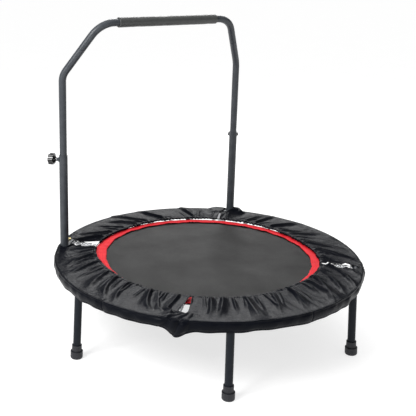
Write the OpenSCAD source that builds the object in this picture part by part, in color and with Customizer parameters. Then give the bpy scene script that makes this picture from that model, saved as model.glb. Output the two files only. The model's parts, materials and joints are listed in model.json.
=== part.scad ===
// Folding mini trampoline with six screw-in legs and a height-adjustable handle.
// Millimetres. Floor at z = 0, ring centre on the Z axis, handle towards +Y.
// The ring is four tube arcs that meet at fold hinges 45 degrees off the X and Y axes.
// The right and front arcs fold down about the line through the hinges at 45 and 225 degrees.

/* [Ring and cover] */
// Outside diameter over the skirt cover
cover_d = 1020; // [980:5:1060]
// Height of the skirt cover's top above the floor
cover_top = 244; // [235:1:255]
// Height of the skirt cover's side wall
cover_wall = 37; // [35:1:38]
// Thickness of the skirt cover
cover_t = 3; // [2.5:0.1:3.2]
// Inner diameter of the skirt cover, at the middle of its elastic hem
cover_hem_d = 750; // [740:2:760]
// Diameter of the ring tube
ring_tube_d = 25; // [24:0.5:25]

/* [Mat and springs] */
// Diameter of the jumping mat
mat_d = 760; // [750:2:762]
// Thickness of the woven mat
mat_t = 1.5; // [1:0.1:1.6]
// Inner diameter of the webbing sewn round the mat
webbing_inner_d = 692; // [670:2:700]
// Number of springs round the ring, a multiple of eight
spring_count = 32; // [24:8:32]
// Diameter of the spring wire
spring_wire_d = 2.6; // [2:0.1:2.8]
// Outside diameter of a spring's coil
spring_d = 13; // [11:0.5:14]

/* [Legs] */
// Number of legs, evenly spaced
leg_count = 6; // [6]
// Diameter of a leg tube
leg_d = 24; // [22:0.5:24.5]
// Outward lean of each leg from the vertical, in degrees
leg_splay = 2.5; // [0:0.5:4]
// Diameter of the rubber foot's base
foot_d = 38; // [36:1:40]

/* [Handle] */
// Angle between a handle post and the nearest hinge line, in degrees
post_offset = 4; // [3.8:0.1:4.5]
// Diameter of the lower handle posts
post_d = 29; // [28.5:0.5:29.5]
// Height of the lower posts' top ends
post_top = 560; // [500:5:600]
// Diameter of the upper handle tube
bar_d = 24.5; // [23:0.5:24.5]
// Height of the upper tube's first bend
shoulder_z = 828; // [780:2:860]
// Height of the top bar's centre
bar_z = 999; // [950:2:1050]
// Distance between the top bar's two bends
bar_w = 530; // [480:5:560]
// How far the top bar stands in front of the posts
bar_lean = 74; // [40:1:100]
// Bend radius of the side tubes at their centre line
bend_r = 60; // [45:1:70]
// Bend radius of the top bar at its centre line
bar_bend_r = 85; // [60:1:90]
// Length of the foam grip
grip_l = 400; // [300:10:420]
// Outside diameter of the foam grip
grip_d = 33; // [32:1:36]
// Diameter over the clamp knob's lobes
knob_d = 40; // [36:1:44]
// Angle between a clamp knob's axis and the outward direction at its post, in degrees
knob_turn = 9; // [0:1:12]

/* [Hidden] */
$fn = 96;

tube_wall = 1.5;
bend_skin = 0.02;
steel = "#33383d";
zinc = "#b9bcc0";
black_rubber = "#1c1d1f";
fabric_grey = "#3c3e42";

// Ring: its tube hangs just under the skirt cover's top.
ring_tube_r = ring_tube_d / 2;
cover_r = cover_d / 2;
cover_edge_r = 8;
cover_gap = 2.5;
ring_z = cover_top - cover_t - cover_gap - ring_tube_r;
ring_r = cover_r - 22.5;
ring_half_gap = 0.3;

// Hinges: channel leaves round the arc ends, pivoting just below the ring tube.
fold_line = 45;
leaf_t = 2.4;
leaf_len = 38;
leaf_gap = 1;
leaf_inner = ring_tube_r + 0.2;
leaf_outer = leaf_inner + leaf_t;
eye_r = 7;
pivot_bolt_r = 4;
pivot_clearance = 0.05;
pivot_z = ring_z - leaf_outer - eye_r - 1;
tab_t = 3;
tab_outer = [10.3, 10.3 + tab_t];
tab_inner = [6.7, 6.7 + tab_t];
rivet_places = [12, 32];
rivet_r = 3;
bracket_bolt_place = 21;
bracket_bolt_r = 4;
hole_clearance = 0.3;

// Springs, rings and mat share one level a little above the ring's centre. Springs are spread
// evenly along each arc, and the outermost two stand close beside its hinges.
springs_per_arc = spring_count / 4;
spring_hinge_angle = 2.9;
mat_top = ring_z + 2;
wire_r = spring_wire_d / 2;
spring_z = mat_top + wire_r + 0.2;
webbing_t = 1.3;
webbing_z = spring_z + wire_r + 0.2;
mat_r = mat_d / 2;
hook_ring_r = 4.5;
hook_x = mat_r + 15.5;
coil_from = hook_x + 8.5;
coil_to = ring_r - ring_tube_r - 13;
coil_ridges = 10;
hook_slot_r = 2.4;
mat_split = 0.4;

// Skirt cover
hem_r = 2.5;
hem_bore_r = 1.5;
elastic_r = 1.3;
hem_z = webbing_z + webbing_t + hem_r + 2.5;
cover_flat_r = ring_r - 17.5;
notch_inner_r = ring_r - 21.5;
notch_outer_r = ring_r + 16.5;
post_slit_halves = [28, 14];
front_slit_halves = [10, 20];
cut_h = 40;

// Legs
leg_r = leg_d / 2;
leg_len = ring_z / cos(leg_splay);
saddle_top = ring_tube_r - 4;
saddle_bottom = ring_tube_r + 6.5;
stud_r = 5;
stud_len = 24;
insert_h = 13;
foot_base_h = 25;
foot_collar_h = 19;
foot_sole = 8;
foot_round = 5;

// Handle
post_r = post_d / 2;
post_wall = 1.5;
bar_r = bar_d / 2;
bracket_half_w = 15;
bracket_t = 3;
bracket_z = ring_z + ring_tube_r + 0.3;
spigot_r = post_r - post_wall - 0.4;
spigot_h = 50;
upright_bottom = post_top - 150;
knob_z = post_top - 15;
knob_hub_x = post_r + 11.5;
knob_back_x = knob_hub_x + 8;
knob_face_x = knob_back_x + 18;
screw_r = 4;
swage_len = 35;
seam_gap = 1.5;
right_post = [ring_r * cos(fold_line - post_offset), ring_r * sin(fold_line - post_offset)];
shoulder = [right_post[0], right_post[1], shoulder_z];
bar_end = [bar_w / 2, right_post[1] - bar_lean, bar_z];
seam = (shoulder + bar_end) / 2;

function unit(v) = v / norm(v);
function arc_angle(length) = length / ring_r * 180 / PI;
function spring_angle(i) = fold_line + 90 * floor(i / springs_per_arc) + spring_hinge_angle
    + (i % springs_per_arc) * (90 - 2 * spring_hinge_angle) / (springs_per_arc - 1);
function leg_angle(i) = i * 360 / leg_count;

// ---------- shared shapes ----------

module ring_sector(from, to) {
    rotate([0, 0, from]) rotate_extrude(angle = to - from, $fn = 180) children();
}

module round_section(r, wall) {
    difference() {
        circle(r = r);
        if (wall > 0) circle(r = r - wall);
    }
}

// One straight run of tube from a to b
module straight_tube(a, b, r, wall) {
    run = b - a;
    translate(a)
        rotate([0, acos(run[2] / norm(run)), atan2(run[1], run[0])])
            linear_extrude(norm(run)) round_section(r, wall);
}

// A bend at a corner between two unit directions
module tube_bend(corner, into, out, bend, r, wall) {
    turn = acos(into * out);
    inward = unit(out - (into * out) * into);
    axis = cross(into, inward);
    centre = corner - into * bend * tan(turn / 2) + inward * bend;
    tilt = acos(axis[2]);
    swing = atan2(axis[1], axis[0]);
    tilted_x = [cos(tilt) * cos(swing), cos(tilt) * sin(swing), -sin(tilt)];
    tilted_y = [-sin(swing), cos(swing), 0];
    roll = atan2(-inward * tilted_y, -inward * tilted_x);
    translate(centre) rotate([0, tilt, swing]) rotate([0, 0, roll])
        rotate_extrude(angle = turn) translate([bend, 0])
            round_section(r - bend_skin, wall > 0 ? wall - 2 * bend_skin : 0);
}

// A tube along a list of points, bent where two runs meet. A bend is a hair thinner than the
// runs, which reach a little way over its ends, so that the pieces join in one clean solid.
module bent_tube(points, bend, r, wall, closed = false) {
    count = len(points);
    runs = closed ? count : count - 1;
    lap = 0.1 * sqrt(bend);
    ways = [for (i = [0:runs - 1]) unit(points[(i + 1) % count] - points[i])];
    trims = [for (i = [0:count - 1])
        !closed && (i == 0 || i == count - 1) ? 0
            : bend * tan(acos(ways[(i + runs - 1) % runs] * ways[i]) / 2) - lap];
    for (i = [0:runs - 1])
        straight_tube(
            points[i] + ways[i] * trims[i],
            points[(i + 1) % count] - ways[i] * trims[(i + 1) % count],
            r, wall
        );
    for (i = [closed ? 0 : 1:runs - 1])
        tube_bend(points[i], ways[(i + runs - 1) % runs], ways[i], bend, r, wall);
}

// Cylinder along +X from x = a to x = b
module x_rod(a, b, r) {
    translate([a, 0, 0]) rotate([0, 90, 0]) cylinder(r = r, h = b - a);
}

// Everything on the rear side of the fold line (side = 1) or on the folding side (side = -1)
module half_space(side) {
    size = 2 * cover_r;
    rotate([0, 0, fold_line]) translate([-size, side > 0 ? mat_split : -size - mat_split, 0])
        cube([2 * size, size, size]);
}

// ---------- frame ring ----------

// An arc from one hinge to the next, with its spring slots, rivet holes and bracket bolt holes
module frame_arc(middle, bolted = false) {
    gap = arc_angle(ring_half_gap);
    color(steel) difference() {
        ring_sector(middle - 45 + gap, middle + 45 - gap)
            translate([ring_r, ring_z]) round_section(ring_tube_r, tube_wall);
        for (i = [0:spring_count - 1])
            if (cos(spring_angle(i) - middle) > cos(45))
                rotate([0, 0, spring_angle(i)]) translate([ring_r, 0, spring_z])
                    x_rod(-ring_tube_r - 5, -ring_tube_r / 2, hook_slot_r);
        for (side = [-1, 1])
            rotate([0, 0, middle - side * 45]) mirror([0, side > 0 ? 0 : 1, 0]) {
                for (place = rivet_places)
                    rotate([0, 0, arc_angle(place)]) translate([ring_r, 0, ring_z])
                        x_rod(-ring_tube_r - 5, ring_tube_r + 5, rivet_r + hole_clearance);
                if (bolted)
                    bracket_bolt_position() translate([0, 0, ring_z - ring_tube_r - 5])
                        cylinder(r = bracket_bolt_r + hole_clearance, h = 2 * ring_tube_r + 10);
            }
    }
}

// Where a handle bracket's bolt passes, seen from the hinge it stands beside
module bracket_bolt_position() {
    rotate([0, 0, arc_angle(bracket_bolt_place)]) translate([ring_r, 0, 0]) children();
}

// Eye tab that carries the pivot bolt; u runs along the arc, w is height above the ring's centre
module eye_tab(v) {
    eye_w = pivot_z - ring_z;
    corner = eye_r * sin(45);
    web = -leaf_outer;
    translate([ring_r + v[0], 0, ring_z]) rotate([90, 0, 90]) linear_extrude(v[1] - v[0]) {
        translate([0, eye_w]) circle(r = eye_r);
        polygon([
            [0, eye_w],
            [corner, eye_w - corner],
            [corner + web - eye_w + corner + 0.5, web + 0.5],
            [leaf_gap, web + 0.5],
            [leaf_gap, web - 1],
            [0, web - 1],
        ]);
    }
}

// A hinge leaf on the arc that starts at the hinge line and runs towards +Y
module hinge_leaf(tabs, bolted) {
    difference() {
        union() {
            ring_sector(arc_angle(leaf_gap), arc_angle(leaf_len)) translate([ring_r, ring_z]) difference() {
                translate([-leaf_outer, -leaf_outer]) square([2 * leaf_outer, leaf_outer + 8]);
                translate([-leaf_inner, -leaf_inner]) square([2 * leaf_inner, leaf_inner + 10]);
            }
            eye_tab(tabs);
            eye_tab([-tabs[1], -tabs[0]]);
        }
        translate([ring_r, 0, pivot_z]) x_rod(-leaf_outer, leaf_outer, pivot_bolt_r + pivot_clearance);
        for (place = rivet_places)
            rotate([0, 0, arc_angle(place)]) translate([ring_r, 0, ring_z])
                x_rod(-leaf_outer - 1, leaf_outer + 1, rivet_r + hole_clearance);
        rotate([0, 0, spring_hinge_angle]) translate([ring_r, 0, spring_z])
            x_rod(-leaf_outer - 1, 0, hook_slot_r);
        if (bolted)
            bracket_bolt_position() translate([0, 0, ring_z - leaf_outer - 1])
                cylinder(r = bracket_bolt_r + hole_clearance, h = leaf_t + 2);
    }
}

// Both leaves of one arc: at its start the eyes named by start_tabs, at its end by end_tabs
module hinge_leaves(middle, start_tabs, end_tabs, bolted = false) {
    color(zinc) {
        rotate([0, 0, middle - 45]) hinge_leaf(start_tabs, bolted);
        rotate([0, 0, middle + 45]) mirror([0, 1, 0]) hinge_leaf(end_tabs, bolted);
    }
}

// Pivot bolt with its lock nut, through the eyes of both leaves of each hinge
module hinge_bolts(angles) {
    head_r = 6.5;
    head_h = 3;
    nut_r = 7;
    nut_h = 6;
    seat = tab_outer[1] + 0.3;
    color(zinc) for (angle = angles)
        rotate([0, 0, angle]) translate([ring_r, 0, pivot_z]) {
            union() {
                x_rod(-seat - nut_h - 1, seat + 1, pivot_bolt_r);
                translate([seat, 0, 0]) rotate([0, 90, 0]) cylinder(r = head_r, h = head_h, $fn = 6);
            }
            translate([-seat - nut_h, 0, 0]) rotate([0, 90, 0]) difference() {
                cylinder(r = nut_r, h = nut_h, $fn = 6);
                translate([0, 0, -1]) cylinder(r = pivot_bolt_r + pivot_clearance, h = nut_h + 2);
            }
        }
}

// Rivets through the leaves and the tube ends of the arcs around the given middles
module leaf_rivets(middles) {
    head_h = 2;
    head_r = 5.5;
    seat = leaf_outer + 0.1;
    color(zinc) for (middle = middles, side = [-1, 1], place = rivet_places)
        rotate([0, 0, middle + side * (45 - arc_angle(place))]) translate([ring_r, 0, ring_z]) union() {
            x_rod(-seat - 1, seat + 1, rivet_r);
            x_rod(seat, seat + head_h, head_r);
            x_rod(-seat - head_h, -seat, head_r);
        }
}

// ---------- springs and mat ----------

// A tension spring from the mat ring's apex to its slot in the ring tube
module spring() {
    pitch = (coil_to - coil_from) / coil_ridges;
    core_r = spring_d / 2 - wire_r;
    tip_x = ring_r - ring_tube_r / 2 + 0.7;
    translate([0, 0, spring_z]) {
        translate([coil_from, 0, 0]) rotate([0, 90, 0]) rotate_extrude($fn = 32) {
            translate([core_r - wire_r, 0]) square([wire_r * 1.4, coil_to - coil_from]);
            for (i = [0:coil_ridges - 1])
                translate([core_r, (i + 0.5) * pitch]) circle(r = wire_r, $fn = 24);
        }
        // cap discs carry the end wires
        x_rod(coil_from, coil_from + 1.5, core_r);
        x_rod(coil_to - 1.5, coil_to, core_r);
        x_rod(hook_x + hook_ring_r, coil_from + 1, wire_r);
        translate([hook_x, 0, 0]) rotate([90, 0, 0]) rotate_extrude($fn = 32)
            translate([hook_ring_r, 0]) circle(r = wire_r, $fn = 24);
        x_rod(coil_to - 1, tip_x, wire_r);
        translate([tip_x, 0, 0]) sphere(r = wire_r, $fn = 24);
        translate([tip_x, 0, 0]) cylinder(r = wire_r, h = 5, $fn = 24);
    }
}

// Rear springs lie between 45 and 225 degrees, front springs in the rest
module springs(side) {
    color(zinc) for (i = [0:spring_count - 1])
        if (side * sin(spring_angle(i) - fold_line) > 0)
            rotate([0, 0, spring_angle(i)]) spring();
}

// A triangular wire ring with its base inside the webbing and its apex in the spring's hook
module mat_ring() {
    base_x = mat_r - 14;
    half_w = 13;
    apex_x = hook_x + 7.5;
    corner_r = 4;
    corners = [[base_x, half_w, 0], [apex_x, 0, 0], [base_x, -half_w, 0]];
    translate([0, 0, spring_z]) bent_tube(corners, corner_r, wire_r, 0, true, $fn = 24);
}

module mat_rings(side) {
    color(zinc) for (i = [0:spring_count - 1])
        if (side * sin(spring_angle(i) - fold_line) > 0)
            rotate([0, 0, spring_angle(i)]) mat_ring();
}

module jumping_mat(side) {
    color(fabric_grey) intersection() {
        translate([0, 0, mat_top - mat_t]) cylinder(r = mat_r, h = mat_t, $fn = 180);
        half_space(side);
    }
}

module mat_webbing(side) {
    color("#d8283a") intersection() {
        translate([0, 0, webbing_z]) difference() {
            cylinder(r = mat_r, h = webbing_t, $fn = 180);
            translate([0, 0, -1]) cylinder(r = webbing_inner_d / 2, h = webbing_t + 2, $fn = 180);
        }
        half_space(side);
    }
}

// ---------- skirt cover ----------

// Section of the cover: sloping top, rounded edge and side wall, with a hem tunnel at each end
module cover_section() {
    hem_x = cover_hem_d / 2;
    foot_x = cover_r - hem_r;
    foot_z = cover_top - cover_wall + hem_r;
    edge_x = cover_r - cover_edge_r;
    edge_z = cover_top - cover_edge_r;
    difference() {
        union() {
            polygon([
                [hem_x, hem_z + hem_r - cover_t], [cover_flat_r, cover_top - cover_t],
                [cover_flat_r, cover_top], [hem_x, hem_z + hem_r],
            ]);
            translate([cover_flat_r - 0.5, cover_top - cover_t])
                square([edge_x - cover_flat_r + 1, cover_t]);
            intersection() {
                translate([edge_x, edge_z]) round_section(cover_edge_r, cover_t);
                translate([edge_x, edge_z]) square(cover_edge_r);
            }
            translate([cover_r - cover_t, foot_z]) square([cover_t, edge_z - foot_z]);
            translate([hem_x, hem_z]) circle(r = hem_r, $fn = 32);
            translate([foot_x, foot_z]) circle(r = hem_r, $fn = 32);
        }
        translate([hem_x, hem_z]) circle(r = hem_bore_r, $fn = 32);
        translate([foot_x, foot_z]) circle(r = hem_bore_r, $fn = 32);
    }
}

// Wedge-shaped slit over a hinge, open at the inner edge; halves are its half widths at both ends
module cover_slit(angle, halves, outer_r) {
    inner_r = cover_hem_d / 2 - 10;
    rotate([0, 0, angle]) translate([0, 0, hem_z - cut_h / 4])
        linear_extrude(cut_h) polygon([
            [inner_r, -halves[0]], [outer_r, -halves[1]], [outer_r, halves[1]], [inner_r, halves[0]],
        ]);
}

// Notch that leaves a handle bracket and its post free; the post stands on the mirrored side
module cover_notch(angle, flip) {
    rotate([0, 0, angle]) mirror([0, flip ? 1 : 0, 0])
        ring_sector(-post_offset - 3.5, arc_angle(leaf_len) + 2)
            translate([notch_inner_r, hem_z]) square([notch_outer_r - notch_inner_r, cut_h]);
}

module skirt_cover(side) {
    start = side > 0 ? fold_line : fold_line + 180;
    split = arc_angle(1);
    color(fabric_grey) difference() {
        ring_sector(start + split, start + 180 - split) cover_section();
        for (angle = [fold_line, fold_line + 90])
            cover_slit(angle, post_slit_halves, notch_inner_r + 1);
        for (angle = [fold_line + 180, fold_line + 270])
            cover_slit(angle, front_slit_halves, cover_flat_r + 8);
        cover_notch(fold_line, false);
        cover_notch(fold_line + 90, true);
    }
}

// Elastic inside the cover's inner hem, one length between slits, and inside its lower hem
module skirt_elastic(side) {
    start = side > 0 ? fold_line : fold_line + 180;
    slit_angle = 5.5;
    color(black_rubber) {
        for (quarter = [0, 90])
            ring_sector(start + quarter + slit_angle, start + quarter + 90 - slit_angle)
                translate([cover_hem_d / 2, hem_z]) circle(r = elastic_r, $fn = 24);
        ring_sector(start + 1, start + 179)
            translate([cover_r - hem_r, cover_top - cover_wall + hem_r]) circle(r = elastic_r, $fn = 24);
    }
}

// ---------- legs ----------

// Leg frame: origin at the ring tube's centre, +Z down the leg
module leg_place(i) {
    rotate([0, 0, leg_angle(i)]) translate([ring_r, 0, ring_z]) rotate([0, 180 - leg_splay, 0]) children();
}

// Space taken by the ring tube at a leg's top
module ring_tube_space(r) {
    rotate([90, 0, 0]) cylinder(r = r, h = 60, center = true);
}

module leg(i) {
    color(steel) leg_place(i) translate([0, 0, saddle_bottom])
        linear_extrude(leg_len - saddle_bottom - foot_sole) round_section(leg_r, tube_wall);
}

module foot_section() {
    base_r = foot_d / 2;
    collar_r = leg_r + 3.2;
    difference() {
        union() {
            square([base_r - foot_round, foot_base_h]);
            translate([0, foot_round]) square([base_r, foot_base_h - foot_round - 1]);
            translate([base_r - foot_round, foot_round]) circle(r = foot_round);
            square([collar_r, foot_base_h + foot_collar_h]);
        }
        translate([0, foot_sole - 0.2]) square([leg_r + 0.1, foot_base_h + foot_collar_h]);
        translate([-foot_d, 0]) square([foot_d, 2 * foot_base_h]);
    }
}

// Rubber foot, flattened where it stands on the floor
module foot(i) {
    color(black_rubber) difference() {
        leg_place(i) translate([0, 0, leg_len + 0.5]) mirror([0, 0, 1]) rotate_extrude() foot_section();
        translate([-cover_d, -cover_d, -50]) cube([2 * cover_d, 2 * cover_d, 50]);
    }
}

// Threaded studs welded under the ring tube
module leg_studs(indices) {
    color(zinc) for (i = indices)
        leg_place(i) difference() {
            translate([0, 0, saddle_top]) cylinder(r = stud_r, h = stud_len);
            ring_tube_space(ring_tube_r + 0.05);
        }
}

// Saddle washers between the leg tops and the ring tube
module leg_saddles(indices) {
    color(black_rubber) for (i = indices)
        leg_place(i) difference() {
            translate([0, 0, saddle_top]) cylinder(r = leg_r + 2, h = saddle_bottom - saddle_top - 0.1);
            translate([0, 0, saddle_top - 1]) cylinder(r = stud_r + hole_clearance, h = stud_len);
            ring_tube_space(ring_tube_r + 0.3);
        }
}

// Threaded inserts pressed into the leg tops
module leg_nuts(indices) {
    color(zinc) for (i = indices)
        leg_place(i) translate([0, 0, saddle_bottom + 0.3]) difference() {
            cylinder(r = leg_r - tube_wall - 0.05, h = insert_h);
            translate([0, 0, -1]) cylinder(r = stud_r + 0.1, h = insert_h + 2);
        }
}

// ---------- handle ----------

// Places a right-hand shape; the left one is its mirror image
module handed(left) {
    mirror([left ? 1 : 0, 0, 0]) children();
}

// Right post frame: Z up the post, +X along the clamp knob's axis
module post_place() {
    translate([right_post[0], right_post[1], 0]) rotate([0, 0, fold_line - post_offset + knob_turn]) children();
}

// Plate bolted over the back arc's end, reaching past the hinge, with a spigot for the post
module handle_bracket(left) {
    color(steel) handed(left) difference() {
        union() {
            ring_sector(fold_line - post_offset - 2, fold_line + arc_angle(leaf_len))
                translate([ring_r - bracket_half_w, bracket_z]) square([2 * bracket_half_w, bracket_t]);
            post_place() translate([0, 0, bracket_z]) cylinder(r = spigot_r, h = bracket_t + spigot_h);
        }
        post_place() translate([0, 0, bracket_z - 1])
            cylinder(r = spigot_r - tube_wall, h = bracket_t + spigot_h + 2);
        rotate([0, 0, fold_line]) bracket_bolt_position() translate([0, 0, bracket_z - 1])
            cylinder(r = bracket_bolt_r + hole_clearance, h = bracket_t + 2);
    }
}

module bracket_bolts() {
    seat = bracket_z + bracket_t;
    bolt_end = ring_z - leaf_outer - 9;
    head_r = 7.3;
    head_h = 5.3;
    color("#c9b25c") for (left = [false, true])
        handed(left) rotate([0, 0, fold_line]) bracket_bolt_position() union() {
            translate([0, 0, seat + 0.1]) cylinder(r = head_r, h = head_h, $fn = 6);
            translate([0, 0, bolt_end]) cylinder(r = bracket_bolt_r, h = seat + 1 - bolt_end);
        }
}

module bracket_nuts() {
    nut_r = 7.5;
    nut_h = 6;
    color(zinc) for (left = [false, true])
        handed(left) rotate([0, 0, fold_line]) bracket_bolt_position()
            translate([0, 0, ring_z - leaf_outer - 0.1 - nut_h]) difference() {
                cylinder(r = nut_r, h = nut_h, $fn = 6);
                translate([0, 0, -1]) cylinder(r = bracket_bolt_r + pivot_clearance, h = nut_h + 2);
            }
}

module handle_post(left) {
    bottom = bracket_z + bracket_t + 0.1;
    color(steel) handed(left) post_place() difference() {
        translate([0, 0, bottom]) linear_extrude(post_top - bottom) round_section(post_r, post_wall);
        translate([0, 0, knob_z]) x_rod(0, post_r + 5, screw_r + hole_clearance);
    }
}

// Cone-shaped threaded boss welded to the post
module knob_boss(left) {
    boss_start = post_r - 3;
    boss_end = knob_hub_x - 2.5;
    root_r = 10;
    tip_r = 5.2;
    color(steel) handed(left) post_place() difference() {
        translate([boss_start, 0, knob_z]) rotate([0, 90, 0])
            cylinder(r1 = root_r, r2 = tip_r, h = boss_end - boss_start);
        translate([0, 0, knob_z]) x_rod(0, boss_end + 1, screw_r + pivot_clearance);
        translate([0, 0, knob_z - 20]) cylinder(r = post_r + 0.05, h = 40);
    }
}

// Lobed clamp knob, axis along +X, moulded round the head of its screw
module clamp_knob(left) {
    lobes = 6;
    lobe_r = 5.5;
    hub_r = 7;
    face_r = knob_d / 2 - 5;
    color(black_rubber) handed(left) post_place() translate([0, 0, knob_z]) difference() {
        union() {
            translate([knob_hub_x, 0, 0]) rotate([0, 90, 0])
                cylinder(r1 = hub_r, r2 = face_r, h = knob_back_x - knob_hub_x);
            translate([knob_back_x - 0.5, 0, 0]) rotate([90, 0, 90])
                linear_extrude(knob_face_x - knob_back_x - 1.5) {
                    circle(r = knob_d / 2 - 3.5);
                    for (i = [0:lobes - 1])
                        rotate(i * 360 / lobes) translate([knob_d / 2 - lobe_r, 0])
                            circle(r = lobe_r, $fn = 32);
                }
            x_rod(knob_face_x - 3, knob_face_x, face_r);
        }
        x_rod(0, knob_face_x - 6, screw_r + pivot_clearance);
    }
}

module knob_screw(left) {
    color(zinc) handed(left) post_place() translate([0, 0, knob_z])
        x_rod(bar_r + 0.05, knob_face_x - 6.1, screw_r);
}

// Reduced tube end that plugs into the top bar, starting inside its own tube's wall
module swaged_end(at, way) {
    plug_r = bar_r - tube_wall - 0.2;
    translate(at) rotate([0, acos(way[2]), atan2(way[1], way[0])]) rotate_extrude() polygon([
        [plug_r - 1.6, -4], [bar_r - tube_wall / 2, -4], [bar_r - tube_wall / 2, -1],
        [plug_r, -1], [plug_r, swage_len], [plug_r - 1.6, swage_len],
    ]);
}

// Upper side tube: slides in the post, bends at the shoulder and ends in a swaged plug
module handle_upright(left) {
    foot_point = [right_post[0], right_post[1], upright_bottom];
    color(steel) handed(left) {
        bent_tube([foot_point, shoulder, seam], bend_r, bar_r, tube_wall);
        swaged_end(seam, unit(bar_end - shoulder));
    }
}

// Top bar with a bend at each end, sleeved over the two side tubes
module handle_top_bar() {
    start = seam + unit(bar_end - shoulder) * seam_gap;
    color(steel) bent_tube([
        start, bar_end, [-bar_end[0], bar_end[1], bar_end[2]], [-start[0], start[1], start[2]],
    ], bar_bend_r, bar_r, tube_wall);
}

module foam_grip() {
    foam_t = grip_d / 2 - bar_r - 0.1;
    color(black_rubber) translate([0, bar_end[1], bar_z]) rotate([0, 90, 0])
        translate([0, 0, -grip_l / 2]) linear_extrude(grip_l) round_section(grip_d / 2, foam_t);
}

// ---------- nodes ----------

frame_arc(90, true);  // frame_arc_back
frame_arc(180);  // frame_arc_left
frame_arc(270);  // frame_arc_front
frame_arc(0);  // frame_arc_right
hinge_leaves(90, tab_outer, tab_outer, true);  // hinge_leaves_back
hinge_leaves(180, tab_inner, tab_outer);  // hinge_leaves_left
hinge_leaves(270, tab_inner, tab_outer);  // hinge_leaves_front
hinge_leaves(0, tab_inner, tab_inner);  // hinge_leaves_right
hinge_bolts([45, 135, 225]);  // hinge_bolts_rear
hinge_bolts([315]);  // hinge_bolts_front
leaf_rivets([90, 180]);  // leaf_rivets_rear
leaf_rivets([270, 0]);  // leaf_rivets_front
springs(1);  // springs_rear
springs(-1);  // springs_front
mat_rings(1);  // mat_rings_rear
mat_rings(-1);  // mat_rings_front
jumping_mat(1);  // jumping_mat_rear
jumping_mat(-1);  // jumping_mat_front
mat_webbing(1);  // mat_webbing_rear
mat_webbing(-1);  // mat_webbing_front
skirt_cover(1);  // skirt_cover_rear
skirt_cover(-1);  // skirt_cover_front
skirt_elastic(1);  // skirt_elastic_rear
skirt_elastic(-1);  // skirt_elastic_front
leg(0);  // leg_right
leg(1);  // leg_back_right
leg(2);  // leg_back_left
leg(3);  // leg_left
leg(4);  // leg_front_left
leg(5);  // leg_front_right
foot(0);  // foot_right
foot(1);  // foot_back_right
foot(2);  // foot_back_left
foot(3);  // foot_left
foot(4);  // foot_front_left
foot(5);  // foot_front_right
leg_studs([1, 2, 3]);  // leg_studs_rear
leg_studs([4, 5, 0]);  // leg_studs_front
leg_saddles([1, 2, 3]);  // leg_saddles_rear
leg_saddles([4, 5, 0]);  // leg_saddles_front
leg_nuts([1, 2, 3]);  // leg_nuts_rear
leg_nuts([4, 5, 0]);  // leg_nuts_front
handle_bracket(true);  // handle_bracket_left
handle_bracket(false);  // handle_bracket_right
bracket_bolts();
bracket_nuts();
handle_post(true);  // handle_post_left
handle_post(false);  // handle_post_right
knob_boss(true);  // knob_boss_left
knob_boss(false);  // knob_boss_right
clamp_knob(true);  // clamp_knob_left
clamp_knob(false);  // clamp_knob_right
knob_screw(true);  // knob_screw_left
knob_screw(false);  // knob_screw_right
handle_upright(true);  // handle_upright_left
handle_upright(false);  // handle_upright_right
handle_top_bar();
foam_grip();
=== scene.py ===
"""A folding mini trampoline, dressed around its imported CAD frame."""
import json
import math

import bmesh
import bpy
import numpy as np
from mathutils import Matrix, Vector


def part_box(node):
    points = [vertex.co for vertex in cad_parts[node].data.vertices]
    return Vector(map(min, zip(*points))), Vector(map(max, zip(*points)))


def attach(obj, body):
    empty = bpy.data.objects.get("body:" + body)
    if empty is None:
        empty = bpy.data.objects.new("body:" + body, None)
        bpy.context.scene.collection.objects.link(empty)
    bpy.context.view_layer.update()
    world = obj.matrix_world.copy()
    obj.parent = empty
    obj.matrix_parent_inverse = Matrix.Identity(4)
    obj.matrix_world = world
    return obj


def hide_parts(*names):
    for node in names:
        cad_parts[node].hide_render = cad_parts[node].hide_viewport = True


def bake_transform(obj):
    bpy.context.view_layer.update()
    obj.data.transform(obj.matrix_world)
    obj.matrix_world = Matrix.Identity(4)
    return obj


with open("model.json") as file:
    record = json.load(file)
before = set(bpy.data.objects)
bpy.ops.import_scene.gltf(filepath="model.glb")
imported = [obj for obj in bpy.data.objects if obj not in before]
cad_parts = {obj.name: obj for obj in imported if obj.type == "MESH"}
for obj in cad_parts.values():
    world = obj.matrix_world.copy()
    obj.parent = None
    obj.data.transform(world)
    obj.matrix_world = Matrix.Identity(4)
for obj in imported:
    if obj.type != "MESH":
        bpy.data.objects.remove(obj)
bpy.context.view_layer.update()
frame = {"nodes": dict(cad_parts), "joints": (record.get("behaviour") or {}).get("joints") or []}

TURN = 2 * math.pi

# ---------------------------------------------------------------- sizes, all from the frame


def middle(node):
    """The centre of a CAD node's box."""
    low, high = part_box(node)
    return (low + high) / 2


def joint(name):
    """The record's row of one joint."""
    return next(j for j in frame["joints"] if j["name"] == name)


REAR, FOLDING, HANDLE = "rear_half", "folding_half", "handle"
RING_LOW, RING_HIGH = (corner.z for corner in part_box("frame_arc_back"))
TUBE_R = (RING_HIGH - RING_LOW) / 2
RING_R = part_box("frame_arc_back")[1].y - TUBE_R
COVER_LOW, COVER_HIGH = (corner.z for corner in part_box("skirt_cover_rear"))
COVER_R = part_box("skirt_cover_rear")[1].y
MAT_LOW, MAT_HIGH = (corner.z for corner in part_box("jumping_mat_rear"))
MAT_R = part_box("jumping_mat_rear")[1].y
BAND_LOW, BAND_HIGH = (corner.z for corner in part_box("mat_webbing_rear"))
SPRING_LOW, SPRING_HIGH = (corner.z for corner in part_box("springs_rear"))
FOLD_AXIS = Vector(joint("frame_fold")["axis"]).normalized()
FOLD_AZIMUTH = math.atan2(FOLD_AXIS.y, FOLD_AXIS.x)
POST_R = (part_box("handle_post_left")[1].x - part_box("handle_post_left")[0].x) / 2
POSTS = {side: middle(f"handle_post_{side}").xy for side in ("left", "right")}
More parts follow.
